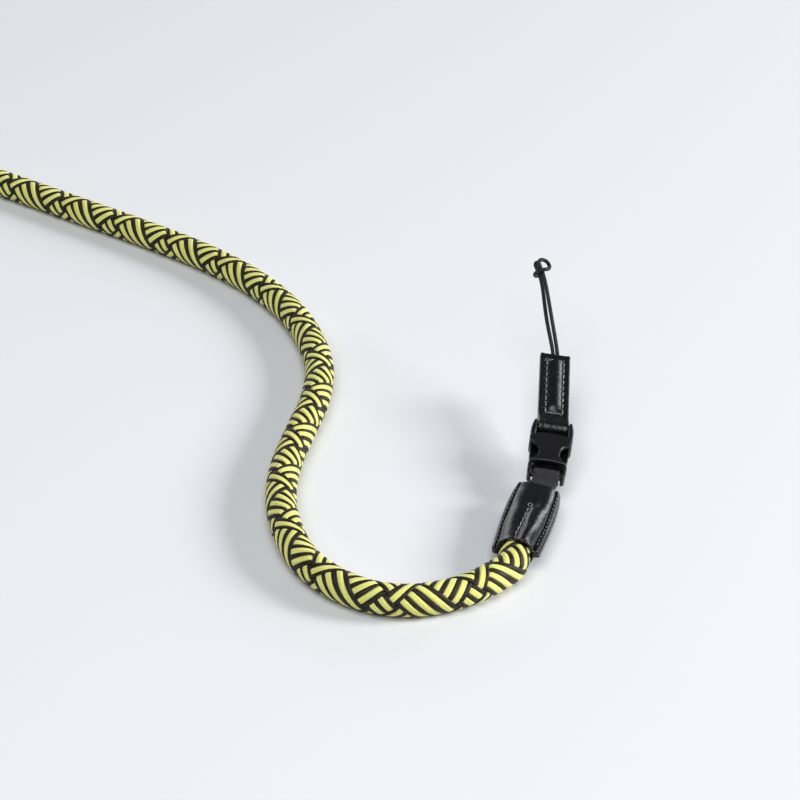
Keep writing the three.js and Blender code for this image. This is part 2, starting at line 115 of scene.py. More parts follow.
# ---- Placement ----
class Pose:
    """A place and turn: yaw turns +Y towards +X, pitch lifts +Y, roll lowers +X."""

    def __init__(self, at, yaw, pitch, roll):
        turn = (
            Matrix.Rotation(-math.radians(yaw), 3, "Z")
            @ Matrix.Rotation(math.radians(pitch), 3, "X")
            @ Matrix.Rotation(math.radians(roll), 3, "Y")
        )
        self.at = np.array(at, float)
        self.turn = np.array(turn)

    def points(self, local):
        return np.asarray(local, float) @ self.turn.T + self.at

    def directions(self, local):
        return np.asarray(local, float) @ self.turn.T


TAB_EYE_Y = TAB.eye_radius + TAB.leather - TAB.length


class End:
    """One end of the strap: the poses of its buckle, tab and sleeve."""

    def __init__(self, buckle, tab_turn, sleeve, twist):
        self.buckle = Pose(*buckle)
        self.sleeve = Pose(*sleeve)
        self.twist = twist
        self.tab = Pose((0, 0, 0), *tab_turn)
        eye = self.tab.points((0, TAB_EYE_Y, 0))
        self.tab.at = self.buckle.points((0, SOCKET.bar_y, 0)) - eye


NEAR = End(((3.0, -65.9, -25.5), 7, 10.4, 3.8), (2.5, 13, 7), ((-1.6, -91.3, -29.1), 14.2, 4.2, 0.4), 6)
FAR = End(((-402.4, -61.8, -34.0), 166, 0, 0), (163, -1.8, 0), ((-408.4, -36.9, -33.6), 168.5, -3.0, 0), 0)


# ---- Curves ----
def unit(v):
    v = np.asarray(v, float)
    return v / np.linalg.norm(v, axis=-1, keepdims=True)


def hermite(t, start, leave, end, arrive):
    """The cubic from start to end that leaves and arrives with the given slopes, at t from 0 to 1."""
    return (
        (2 * t**3 - 3 * t**2 + 1) * start
        + (t**3 - 2 * t**2 + t) * leave
        + (3 * t**2 - 2 * t**3) * end
        + (t**3 - t**2) * arrive
    )


def centripetal(points, per_span):
    """The centripetal Catmull-Rom curve through the points, as a line of points."""
    p = np.asarray(points, float)
    p = np.vstack([2 * p[0] - p[1], p, 2 * p[-1] - p[-2]])
    line = []
    for a, b, c, d in zip(p, p[1:], p[2:], p[3:]):
        t0, t1, t2 = (max(1e-4, np.linalg.norm(v) ** 0.5) for v in (b - a, c - b, d - c))
        m1 = ((b - a) / t0 - (c - a) / (t0 + t1) + (c - b) / t1) * t1
        m2 = ((c - b) / t1 - (d - b) / (t1 + t2) + (d - c) / t2) * t1
        line += [hermite(t, b, m1, c, m2) for t in np.arange(per_span) / per_span]
    line.append(p[-2])
    return np.array(line)


def distances(line):
    """Each point's distance along a line of points."""
    return np.concatenate([[0], np.cumsum(np.linalg.norm(np.diff(line, axis=0), axis=1))])


class Route:
    """A line measured along its length, with side and up directions that turn as little as they can."""

    def __init__(self, line, up=(0, 0, 1), level=False):
        self.line = np.asarray(line, float)
        self.at = distances(self.line)
        self.tangents = unit(np.gradient(self.line, self.at, axis=0))
        ups = []
        above = first = np.asarray(up, float)
        for t in self.tangents:
            above = first if level else above
            above = unit(above - above.dot(t) * t)
            ups.append(above)
        self.ups = np.array(ups)
        self.length = self.at[-1]

    def _pick(self, table, s):
        return np.stack([np.interp(s, self.at, table[:, k]) for k in range(3)], axis=-1)

    def points(self, s):
        return self._pick(self.line, s)

    def frame(self, s):
        """Centre, tangent, side (to the right of travel) and up at distances s."""
        t = unit(self._pick(self.tangents, s))
        up = self._pick(self.ups, s)
        up = unit(up - (up * t).sum(-1, keepdims=True) * t)
        return self.points(s), t, np.cross(t, up), up


def smoothstep(x):
    x = np.clip(x, 0, 1)
    return x * x * (3 - 2 * x)


def bell(x):
    return np.exp(-(x**2))


def smooth_table(rows, column, at):
    """A column of a table of named sections, interpolated without kinks."""
    xs = np.array([r[0] for r in rows], float)
    ys = np.array([r[column] for r in rows], float)
    slope = np.gradient(ys, xs)
    at = np.clip(at, xs[0], xs[-1])
    i = np.clip(np.searchsorted(xs, at) - 1, 0, len(xs) - 2)
    h = xs[i + 1] - xs[i]
    t = (at - xs[i]) / h
    return hermite(t, ys[i], h * slope[i], ys[i + 1], h * slope[i + 1])


def wrinkle(points, scale, seed=0.0):
    """Smooth noise between -1 and 1 at each point."""
    a, b, c = scale
    return np.array([noise.noise(Vector((x * a + seed, y * b, z * c))) for x, y, z in points])


def circle(count):
    """Evenly spaced angles once round."""
    return np.linspace(0, TURN, count, endpoint=False)


# ---- Meshes ----
def linked(name, data):
    """A new object in the scene."""
    obj = bpy.data.objects.new(name, data)
    bpy.context.scene.collection.objects.link(obj)
    return obj


def grid_faces(rings, count):
    """Quads between closed rings of count points each."""
    r, i = np.meshgrid(np.arange(rings - 1), np.arange(count), indexing="ij")
    a = (r * count + i).ravel()
    b = (r * count + (i + 1) % count).ravel()
    return np.stack([a, b, b + count, a + count], axis=1)


def mesh_piece(name, points, faces, materials, uvs=None, smooth=True):
    """A mesh object from points in mm and a list of faces. uvs holds one (u, v) a face corner."""
    mesh = bpy.data.meshes.new(name)
    faces = [list(map(int, f)) for f in faces]
    mesh.from_pydata((np.asarray(points, float) * MM).tolist(), [], faces)
    if uvs is not None:
        layer = mesh.uv_layers.new(name="lay")
        layer.data.foreach_set("uv", np.asarray(uvs, np.float32).ravel())
    mesh.update()
    mesh.polygons.foreach_set("use_smooth", [smooth] * len(mesh.polygons))
    for material in materials:
        mesh.materials.append(material)
    return linked(name, mesh)


class Tubes:
    """Closed tubes gathered into one mesh, with u across each tube and v along it."""

    def __init__(self):
        self.points, self.faces, self.uvs, self.count = [], [], [], 0

    def add(self, rings, along):
        """rings is an array (rings, around, 3); along holds each ring's distance in mm."""
        n, m = rings.shape[:2]
        quads = grid_faces(n, m)
        self.points.append(rings.reshape(-1, 3))
        self.faces.extend((quads + self.count).tolist())
        r, i = np.divmod(quads[:, :1], m)
        uvs = np.stack([(i + [0, 1, 1, 0]) / m, along[r + [0, 0, 1, 1]]], axis=2)
        self.uvs.extend(uvs.reshape(-1, 2).tolist())
        for start, order in ((0, -1), (n - 1, 1)):
            self.faces.append([self.count + start * m + k for k in range(m)][::order])
            self.uvs.extend([[0.5, along[start]]] * m)
        self.count += n * m

    def piece(self, name, *materials):
        return mesh_piece(name, np.vstack(self.points), self.faces, materials, self.uvs)


def tube_rings(route, s, radius, sides):
    centre, _, side, up = route.frame(s)
    angle = circle(sides)
    radius = np.broadcast_to(radius, s.shape)[:, None, None]
    ring = np.cos(angle)[None, :, None] * up[:, None] + np.sin(angle)[None, :, None] * side[:, None]
    return centre[:, None] + radius * ring


# ---- Materials ----
class Nodes:
    """A material's node tree with short ways to add and join nodes."""

    def __init__(self, name):
        self.material = bpy.data.materials.new(name)
        self.material.use_nodes = True
        self.tree = self.material.node_tree
        self.shader = self.tree.nodes["Principled BSDF"]

    def node(self, kind, inputs=None, **settings):
        made = self.tree.nodes.new(kind)
        for key, value in settings.items():
            setattr(made, key, value)
        for key, value in (inputs or {}).items():
            self.put(value, made.inputs[key])
        return made

    def put(self, value, socket):
        if isinstance(value, bpy.types.NodeSocket):
            self.tree.links.new(value, socket)
        else:
            socket.default_value = value

    def math(self, operation, *values):
        return self.node("ShaderNodeMath", dict(enumerate(values)), operation=operation).outputs[0]

    def plus(self, a, b):
        return self.math("ADD", a, b)

    def times(self, a, b):
        return self.math("MULTIPLY", a, b)

    def sine(self, value):
        return self.math("SINE", value)

    def coordinates(self, kind):
        return self.node("ShaderNodeTexCoord").outputs[kind]

    def lay(self, uv):
        """The distances across and along a piece that its UV map holds."""
        return self.node("ShaderNodeSeparateXYZ", {0: uv}).outputs[:2]

    def filaments(self, uv, across, along):
        stretched = self.node("ShaderNodeMapping", {0: uv, 3: (across, along, 1.0)}).outputs[0]
        return self.noise(stretched, 1.0, 3.0, 0.6)

    def mapped(self, *values):
        """A value taken from one range (low, high) to another."""
        return self.node("ShaderNodeMapRange", dict(enumerate(values))).outputs[0]

    def blend(self, share, first, second):
        inputs = {0: share, 6: (*first, 1), 7: (*second, 1)}
        return self.node("ShaderNodeMix", inputs, data_type="RGBA").outputs[2]

    def noise(self, where, scale, detail=3.0, rough=0.5, distortion=0.0):
        inputs = {"Vector": where, "Scale": scale, "Detail": detail}
        inputs |= {"Roughness": rough, "Distortion": distortion}
        return self.node("ShaderNodeTexNoise", inputs).outputs[0]

    def shaded(self, **values):
        """The material, with values for the shader's own inputs."""
        for key, value in values.items():
            self.put(value, self.shader.inputs[key.replace("_", " ")])
        return self.material

    def bump(self, height, distance, strength=1.0, normal=None):
        inputs = {"Height": height, "Distance": distance, "Strength": strength}
        if normal is not None:
            inputs["Normal"] = normal
        return self.node("ShaderNodeBump", inputs).outputs[0]


def leather_material():
    """Smooth black leather: fine pebbled grain, faint crease lines, soft satin gloss that varies."""
    n = Nodes("strap_leather")
    where = n.coordinates("Object")
    cells = n.node("ShaderNodeTexVoronoi", {"Vector": where, "Scale": 2100.0}, feature="SMOOTH_F1")
    folds = n.noise(where, 420.0, 4.0, 0.6, 0.4)
    grain = n.plus(cells.outputs["Distance"], n.times(n.noise(where, 5200.0, 2.0), 0.35))
    worn = n.mapped(folds, 0.45, 0.75, 0.0, 1.0)
    return n.shaded(
        Base_Color=n.blend(worn, (0.003, 0.003, 0.0035), (0.0065, 0.0065, 0.0075)),
        Roughness=n.mapped(n.noise(where, 900.0, 3.0), 0.3, 0.7, 0.22, 0.34),
        Normal=n.bump(grain, 0.00002, 0.3, n.bump(folds, 0.00025, 0.25)),
        Specular_IOR_Level=0.55,
    )


def edge_and_reflection_material():
    """The cut edge of the leather and its lining: matt dark grey fibres, lighter than the leather partly as
    a painted reflection of the pale floor.
    """
    n = Nodes("leather_cut_edge_painted_reflection")
    fibres = n.noise(n.coordinates("Object"), 3800.0, 4.0, 0.65, 1.5)
    return n.shaded(
        # Base colour: grey fibre tone, raised to a light grey that is partly a painted reflection of the
        # floor.
        Base_Color=n.blend(fibres, (0.09, 0.092, 0.1), (0.24, 0.245, 0.26)),
        Roughness=0.72,
        Normal=n.bump(fibres, 0.00006, 0.8),
    )


def plastic_material():
    """Moulded black plastic with a fine spark-eroded skin and faint flow marks."""
    n = Nodes("moulded_plastic")
    where = n.coordinates("Object")
    skin = n.noise(where, 7000.0, 2.0)
    flow = n.noise(where, 260.0, 3.0, 0.5, 0.3)
    return n.shaded(
        Base_Color=n.blend(flow, (0.005, 0.005, 0.0055), (0.009, 0.009, 0.0098)),
        Roughness=n.mapped(flow, 0.3, 0.7, 0.23, 0.32),
        Normal=n.bump(skin, 0.00002, 0.5, n.bump(flow, 0.00015, 0.12)),
    )


def painted_glint_thread_material():
    """Waxed black sewing thread, with its twist as fine diagonal ridges along each stitch; the ridge crests
    are painted light grey as painted glints.
    """
    n = Nodes("sewing_thread_painted_glints")
    across, along = n.lay(n.coordinates("UV"))
    ridge = n.sine(n.plus(n.times(along, 14.0), n.times(across, 12.566)))
    # The base colour is a painted glint: light grey on each twist ridge's crest, near-black between.
    return n.shaded(
        Base_Color=n.blend(n.mapped(ridge, -1.0, 1.0, 0.0, 1.0), (0.02, 0.02, 0.023), (0.22, 0.22, 0.24)),
        Roughness=n.mapped(ridge, -1.0, 1.0, 0.32, 0.16),
        Normal=n.bump(ridge, 0.00004, 0.6),
        Specular_IOR_Level=1.0,
    )


def painted_sheen_webbing_material():
    """Woven black nylon: the yarns are in the mesh, and this adds their filaments and a painted sheen: the
    yarn floats are painted lighter as painted highlights.
    """
    n = Nodes("webbing_nylon_painted_sheen")
    uv = n.coordinates("UV")
    across, along = n.lay(uv)
    warp, pick = n.times(across, 12.566), n.times(along, 14.96)
    floats = n.times(n.sine(n.plus(warp, pick)), n.sine(warp))
    filaments = n.filaments(uv, 9.0, 1.6)
    # Colour share: painted highlights on the yarn floats, plus random tone from the filaments.
    share = n.plus(n.mapped(floats, 0.0, 0.8, 0.0, 0.85), n.mapped(filaments, 0.3, 0.7, -0.2, 0.25))
    return n.shaded(
        Base_Color=n.blend(share, (0.001, 0.001, 0.0013), (0.15, 0.15, 0.165)),
        Roughness=n.mapped(share, 0.0, 1.0, 0.7, 0.4),
        Normal=n.bump(share, 0.00015, 0.9),
        Specular_IOR_Level=0.2,
    )


def strand_material(name, low, high, rough, yarns, sheen, relief):
    """A flat braided strand: parallel yarns along it with a slight twist, each full of fine filaments. Its
    colour is painted darker between the yarns as painted shade, with random tone from the filaments and
    patches.
    """
    n = Nodes(name)
    uv = n.coordinates("UV")
    across, along = n.lay(uv)
    phase = n.plus(n.times(across, 6.2832 * yarns), n.times(along, 0.5))
    ridge = n.mapped(n.sine(phase), -1.0, 1.0, 0.0, 1.0)
    twist = n.sine(n.plus(n.times(phase, 2.0), n.times(along, 13.0)))
    filaments = n.filaments(uv, 60.0, 1.3)
    patches = n.noise(n.coordinates("Object"), 130.0, 2.0)
    height = n.plus(ridge, n.plus(n.times(twist, 0.22), n.times(filaments, 0.7)))
    # Colour: painted shade in the grooves between yarns, plus random filament and patch tone.
    painted_groove_shade_and_tone = n.plus(n.times(ridge, 0.45), n.times(filaments, 0.55))
    painted_groove_shade_and_tone = n.plus(painted_groove_shade_and_tone, n.mapped(patches, 0.35, 0.65, -0.12, 0.12))
    return n.shaded(
        Base_Color=n.blend(painted_groove_shade_and_tone, low, high),
        Roughness=rough,
        Normal=n.bump(height, relief, 0.7),
        Sheen_Weight=sheen,
        Sheen_Roughness=0.45,
        Specular_IOR_Level=0.4,
    )


LEATHER = leather_material()
CUT_EDGE_PAINTED_REFLECTION = edge_and_reflection_material()
PLASTIC = plastic_material()
THREAD_PAINTED_GLINTS = painted_glint_thread_material()
NYLON_PAINTED_SHEEN = painted_sheen_webbing_material()
YELLOW, BLACK, CORD_BLACK = (
    strand_material(*look)  # name, dark and light colour, roughness, yarns in the strand, sheen, relief
    for look in (
        ("strand_yellow", (0.655, 0.62, 0.1), (0.9, 0.885, 0.29), 0.62, 4, 0.25, 0.00005),
        ("strand_black", (0.0035, 0.0025, 0.0008), (0.011, 0.0085, 0.0028), 0.55, 3, 0.0, 0.00006),
        ("lug_cord_black", (0.002, 0.002, 0.0024), (0.008, 0.008, 0.0095), 0.45, 2, 0.0, 0.00003),
    )
)


def finished(obj, slot, *nodes):
    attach(obj, "root")
    if nodes:
        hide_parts(*nodes)


# ---- Camera ----
# The place and turn that match the photograph's view.
CAMERA = Measures(at=(-46.0, -728.7, 404.56), tilt=57.73, roll=2.026, lens=110.87, sensor=36.0)


def make_camera():
    data = bpy.data.cameras.new("camera")
    data.sensor_width, data.lens = CAMERA.sensor, CAMERA.lens
    data.clip_start, data.clip_end = 0.05, 20.0
    camera = linked("camera", data)
    tilt = Matrix.Rotation(math.radians(CAMERA.tilt), 4, "X")
    roll = Matrix.Rotation(math.radians(CAMERA.roll), 4, "Z")
    camera.matrix_world = Matrix.Translation(Vector(CAMERA.at) * MM) @ tilt @ roll
    bpy.context.scene.camera = camera


make_camera()


# ---- Braided strands ----
def lanes(crossings):
    """(place, is yellow) of every lane, the black ones spread evenly between the yellow ones."""
    around = [*crossings, crossings[0] + BRAID_TURN]
    known = [i for i, c in enumerate(around) if c is not None]
    rows = []
    for i, c in enumerate(crossings):
        if c is None:
            before, after = max(k for k in known if k < i), min(k for k in known if k > i)
            share = (i - before) / (after - before)
            rows.append((around[before] + share * (around[after] - around[before]), False))
        else:
            rows.append((c, True))
    return rows


def strand_half_widths(rows):
    """Half widths that fill the lanes: the yellow strands are alike, and the black ones take the rest."""
    across = math.sin(math.atan(TURN * STRAND.over / BRAID_TURN)) * 1.03
    places = [r[0] for r in rows]
    halves = []
    for i, (place, is_yellow) in enumerate(rows):
        room = []
        for k in (i - 1, i + 1):
            gap = (places[k % len(rows)] - place) * (1 if k > i else -1) % BRAID_TURN * across
            room.append(gap - STRAND.yellow_half if rows[k % len(rows)][1] else gap / 2)
        halves.append(STRAND.yellow_half if is_yellow else min(0.98, sum(room) / 2))
    return halves


def strand_distances(switches, start, end, rise, step):
    """Distances at which a strand needs a ring: close together where it passes over or under."""
    marks = [start, end]
    for at in switches:
        marks += [at - 1.1 * rise, at - 0.35 * rise, at + 0.35 * rise, at + 1.1 * rise]
    marks = sorted(m for m in marks if start <= m <= end)
    out = []
    for a, b in zip(marks, marks[1:]):
        out += list(np.linspace(a, b, max(1, math.ceil((b - a) / step - 0.25)), endpoint=False))
    return np.array(out + [marks[-1]])


FLAT_SECTION = [(-1, -0.3), (-0.93, 0.5), (-0.6, 0.93), (0, 1), (0.6, 0.93), (0.93, 0.5), (1, -0.3), (0, -1)]


def strand_rings(route, s, angle, radius, half, hand, pitch, section=FLAT_SECTION):
    """Rings of a flat strand that winds round a route, and each ring's distance along the strand.
    Angle 0 is up, half is the strand's half width and thickness, hand is its direction of turn."""
    centre, t, side, up = route.frame(s)
    outward = np.cos(angle)[:, None] * up + np.sin(angle)[:, None] * side
    round_ = -np.sin(angle)[:, None] * up + np.cos(angle)[:, None] * side
    slope = hand * TURN * radius / pitch
    along = unit(t + slope[:, None] * round_)
    across = np.cross(outward, along)
    middle = centre + radius[:, None] * outward
    rings = [middle + w * half[0] * across + h * half[1] * outward for w, h in section]
    return np.stack(rings, axis=1), distances(middle)


def rope_line():
    def beyond(end, distance):
        return end.sleeve.points((0, -SLEEVE.length - distance, 0))

    inside = -ROPE.in_sleeve
    points = [beyond(NEAR, ROPE.clearance), beyond(NEAR, ROPE.straight)]
    points += [(x, y, TABLE_Z + ROPE.diameter / 2) for x, y in ROPE_ROUTE]
    points += [beyond(FAR, ROPE.straight), beyond(FAR, ROPE.clearance)]
    line = centripetal(points, 40)
    return np.vstack([beyond(NEAR, inside), line, beyond(FAR, inside)])


ROPE_PATH = Route(rope_line(), level=True)
ROPE_START = ROPE.in_sleeve + ROPE.clearance  # the braid's distances are counted from here


def rope_squeeze(s):
    """How much the sleeves' mouths narrow the rope, as a factor on its radius."""
    beyond, fade = 3.5, 5.0  # how far past the mouth the squeeze ends, and over what length
    near = smoothstep((ROPE_START + beyond - s) / fade)
    far = smoothstep((s - (ROPE_PATH.length - ROPE_START - beyond)) / fade)
    inside = smoothstep((ROPE_START - np.minimum(s, ROPE_PATH.length - s)) / 3.0)
    return 1 - 0.03 * np.maximum(near, far) - 0.1 * inside


HALF_TURNS = (-30, 45)  # of the braid, enough to cover the rope from any strand's place


def make_rope():
    yellow = Tubes()
    black = {1: Tubes(), -1: Tubes()}
    length = ROPE_PATH.length
    for hand, rows, block, other in (
        (-1, lanes(LEFT_LAY), LEFT_BLOCK, RIGHT_BLOCK),
        (1, lanes(RIGHT_LAY), RIGHT_BLOCK, LEFT_BLOCK),
    ):
        for (place, is_yellow), half in zip(rows, strand_half_widths(rows)):
            narrow = (place - block[0]) % BRAID_TURN < block[1] - block[0]
            # The strand's own place plus the place of what it crosses is twice the distance.
            first, last = ((place + mark) / 2 + ROPE_START for mark in other)
            turns = np.arange(*HALF_TURNS) * BRAID_TURN / 2
            switches = np.sort(np.concatenate([first + turns, last + turns]))
            s = strand_distances(switches, 0.0, length, STRAND.rise, 1.05)
            into = (s - first) % (BRAID_TURN / 2)
            width = (other[1] - other[0]) / 2
            edge = np.minimum(np.abs(into), np.abs(into - width))
            edge = np.minimum(edge, BRAID_TURN / 2 - into)
            inside = np.where(into < width, edge, -edge)
            share = smoothstep(0.5 + inside / (2 * STRAND.rise))
            # Left lay: its narrow bundle dives under the right lay's narrow bundle and its wide one
            # rides over it. Right lay: its narrow bundle rides over the left lay's narrow bundle.
            over_in_block = narrow if hand > 0 else not narrow
            share = share if over_in_block else 1 - share
            radius = (STRAND.under + (STRAND.over - STRAND.under) * share) * rope_squeeze(s)
            angle = hand * TURN * (s - ROPE_START - place) / BRAID_TURN
            tubes = yellow if is_yellow else black[hand]
            size = half, STRAND.half_thick
            tubes.add(*strand_rings(ROPE_PATH, s, angle, radius, size, hand, BRAID_TURN))
    woven = len(yellow.faces)
    s = np.append(np.arange(0, length, 1.5), length)
    yellow.add(tube_rings(ROPE_PATH, s, STRAND.core * rope_squeeze(s), 16), s)
    body = yellow.piece("rope_core_and_yellow_strands", YELLOW, BLACK)
    body.data.polygons.foreach_set("material_index", [0] * woven + [1] * (len(yellow.faces) - woven))
    pieces = [
        black[-1].piece("rope_black_strands_left_lay", BLACK),
        black[1].piece("rope_black_strands_right_lay", BLACK),
    ]
    for obj in (body, *pieces):
        finished(obj, "rope_braid", "rope")
    return body, pieces


def cord_points_near():
    tab = NEAR.tab
    up = unit(-tab.at)
    along = np.array(WIRE_DIRECTION)
    wire = unit(along - along.dot(up) * up)
    front = np.cross(wire, up)
    across = tab.directions((1, 0, 0))
    spread = unit(wire + across)

    def knot(row, flip):
        return up * row[0] + wire * flip * row[1] + front * row[2]

    def half(flip):
        leg = [tab.points((-flip * CORD.apart / 2, y, 0)) for y in (-CORD.in_pocket, LEG_STUB)]
        bow = tab.at * LEG_BOW.share - spread * flip * LEG_BOW.half
        return [*leg, bow, *(knot(row, flip) for row in KNOT_HALF)]

    return half(1) + [knot(KNOT_MIDDLE, 1)] + half(-1)[::-1]


def cord_points_far():
    tab = FAR.tab

    def on_table(x, y, z):
        p = tab.points((x, y, 0))
        p[2] = z
        return p

    def half(side):
        start = tab.points((side * CORD.apart / 2, -CORD.in_pocket, 0))
        return [start] + [on_table(side * h, y, z) for y, h, z in FAR_LOOP_HALF]

    tip = on_table(0, FAR_LOOP_TIP, TABLE_Z + CORD.diameter / 2)
    return half(-1) + [tip] + half(1)[::-1]


CORD_BRAID = Measures(lanes=4, turn=5.2, over=0.535, under=0.44, core=0.5)
CORD_STRAND = (0.36, 0.15)  # half width, half thickness
CORD_SECTION = [(-1, -0.2), (-0.6, 0.8), (0, 1), (0.6, 0.8), (1, -0.2), (0, -1)]


def make_lug_cord(prefix, points, node):
    route = Route(centripetal(points, 16))
    b = CORD_BRAID
    lane = b.turn / b.lanes
    strands = Tubes()
    s = np.arange(0, route.length + 0.001, 0.3)
    s = s * route.length / s[-1]
    for hand in (-1, 1):
        for i in range(b.lanes):
            place = i * lane
            crossed = (2 * s - place) / lane  # counts the lanes of the other lay that it has passed
            wave = np.cos(math.pi * (crossed + i))
            share = 0.5 + 0.5 * (wave if hand > 0 else -wave)
            radius = b.under + (b.over - b.under) * share
            angle = hand * TURN * (s - place) / b.turn
            strands.add(*strand_rings(route, s, angle, radius, CORD_STRAND, hand, b.turn, CORD_SECTION))
    core = Tubes()
    core.add(tube_rings(route, s[::2], b.core, 10), s[::2])
    body = core.piece(prefix + "lug_cord_core", CORD_BLACK)
    skin = strands.piece(prefix + "lug_cord_strands", CORD_BLACK)
    for obj in (body, skin):
        finished(obj, "lug_cord", node)
    return body, skin, route


rope_core, rope_strands = make_rope()
near_cord, near_cord_skin, near_cord_route = make_lug_cord("", cord_points_near(), "lug_cord")
far_cord, far_cord_skin, far_cord_route = make_lug_cord("far_", cord_points_far(), "far_lug_cord")


# ---- Stitches ----
def stitch_tubes(tubes, holes, normals, radius=0.3, gap=0.25, arch=0.3, sink=0.32):
    """A thread from each hole to the next, rounded over between them and diving in at both. normals is one
    direction for each hole, or one for all."""
    normals = np.broadcast_to(normals, np.shape(holes))
    for a, b, na, nb in zip(holes, holes[1:], normals, normals[1:]):
        run = b - a
        length = np.linalg.norm(run)
        t = np.linspace(0, 1, 11)
        share = gap / length + t * (1 - 2 * gap / length)
        lift = (arch + sink) * np.sin(math.pi * t) ** 0.6 - sink
        normal = unit(na[None] * (1 - t[:, None]) + nb[None] * t[:, None])
        route = Route(a[None] + share[:, None] * run[None] + lift[:, None] * normal, up=na)
        taper = radius * (0.72 + 0.28 * np.sin(math.pi * t))
        tubes.add(tube_rings(route, route.at, taper, 8), route.at)


# ---- Folded strips: the leather tab and the web link ----
FOLD_GAP = 0.02  # half the gap between a folded strip's two layers


def fold_profile(reach, radius, level, step, opening):
    """(distance from the eye, height) along a strip's middle line: from one end round the eye and back."""
    turn = math.radians(75)
    join = np.array([radius * math.cos(turn), radius * math.sin(turn)])
    flat = np.linspace(reach, opening, max(2, round((reach - opening) / step)), endpoint=False)
    t = np.linspace(0, 1, max(4, round(1.2 * opening / step)), endpoint=False)[:, None]
    start, run = np.array([opening, level]), (opening - join[0]) * 1.1
    round_eye = np.array([-math.sin(turn), math.cos(turn)])
    swell = hermite(t, start, np.array([-run, 0]), join, round_eye * run)
    sweep = np.linspace(turn, TURN - turn, max(9, round(2 * (math.pi - turn) * radius / step)))
    arc = np.stack([radius * np.cos(sweep), radius * np.sin(sweep)], axis=1)
    out = np.vstack([np.stack([flat, np.full_like(flat, level)], axis=1), swell])
    back = (out * [1, -1])[::-1]
    return np.vstack([out, arc, back])


def folded_strip(name, axis, profile, sheet, relief, material, columns, corner, inner_columns=9):
    """A strip of sheet folded round a bar. axis(d) gives origin, side and up at distance d from the eye,
    and relief(x, d, top, along, outer) lifts its faces. sheet is its width and thickness, columns the
    points across its faces, and corner the rounding of its edges."""
    n = len(profile)
    width, thick = sheet
    d, h = profile[:, 0], profile[:, 1]
    origin, side, up = axis(d)
    step = unit(np.gradient(profile, axis=0))
    ahead = unit(axis(d + 0.05)[0] - axis(d - 0.05)[0])
    normal = step[:, 1][:, None] * ahead - step[:, 0][:, None] * up
    middle = origin + h[:, None] * up
    along = distances(middle)
    top = h > 0
    turns = np.linspace(0, math.pi, 7)
    edge = np.stack([corner * np.sin(turns), thick / 2 - corner + corner * np.cos(turns)], axis=1)
    edge[4:, 1] -= thick - 2 * corner
    edge[3, 1] = 0
    flat = width / 2 - corner
    rows = [(x, thick / 2, True) for x in np.linspace(flat, -flat, columns)]  # x, z, outer face
    rows += [(-flat - e[0], e[1], False) for e in edge[1:-1]]
    rows += [(x, -thick / 2, False) for x in np.linspace(-flat, flat, inner_columns)]
    rows += [(flat + e[0], e[1], False) for e in edge[::-1][1:-1]]
    rings = np.zeros((n, len(rows), 3))
    for k, (x, z, outer) in enumerate(rows):
        lift = relief(np.full(n, x), d, top, along, outer)
        rings[:, k] = middle + x * side + (z + lift)[:, None] * normal
    tubes = Tubes()
    tubes.add(rings[:, ::-1], along)
    # The strip's own x, in mm, takes the place of u.
    across = [x for x, _, _ in rows][::-1]
    here, following = np.tile(across, n - 1), np.tile(np.roll(across, -1), n - 1)
    uvs = np.array(tubes.uvs)
    uvs[: 4 * len(here), 0] = np.stack([here, following, following, here], axis=1).ravel()
    tubes.uvs = uvs.tolist()
    return tubes.piece(name, material)


STITCH_BOX = Measures(half=2.8, top=-2.9, bottom=-27.4, pitch=2.72, across=2.8)
UNDERSIDE = 0.8  # share of the padding on the side that lies on the table
PADDING = 0.25  # the scene's padding is this much fuller than the solid's


def tab_relief_at(x, y):
    """Height of the tab's padded middle over its flat leather, with the pull of the stitches."""
    rise = TAB.pillow_height / 2 + PADDING - TAB.leather
    b, spread = STITCH_BOX, 0.42  # spread is how far a stitch's pull reaches
    length = smoothstep((y - b.bottom - 0.2) / 3.0) * smoothstep((b.top - 0.1 - y) / 1.2 + 0.45)
    shape = np.clip(1 - (np.abs(x) / (b.half - 0.1)) ** 1.75, 0, 1)
    pillow = rise * shape * length
    along = np.abs(((y - b.top) / b.pitch) % 1.0 - 0.5) * 2  # 1 at the holes
    inside = (y < b.top + 0.6) & (y > b.bottom - 0.6)
    row = bell((np.abs(x) - b.half) / spread) * inside
    cross = np.abs((x / b.across) % 1.0 - 0.5) * 2
    ends = bell((y - b.top) / spread) + bell((y - b.bottom) / spread)
    ends = ends * (np.abs(x) < b.half + 0.4)
    pull = row * (0.16 + 0.2 * along**3) + ends * (0.16 + 0.2 * cross**3)
    margin = 0.12 * smoothstep((np.abs(x) - 3.3) / 0.9) * smoothstep((5.0 - np.abs(x)) / 0.6)
    return pillow + margin - np.minimum(pull, 0.4)


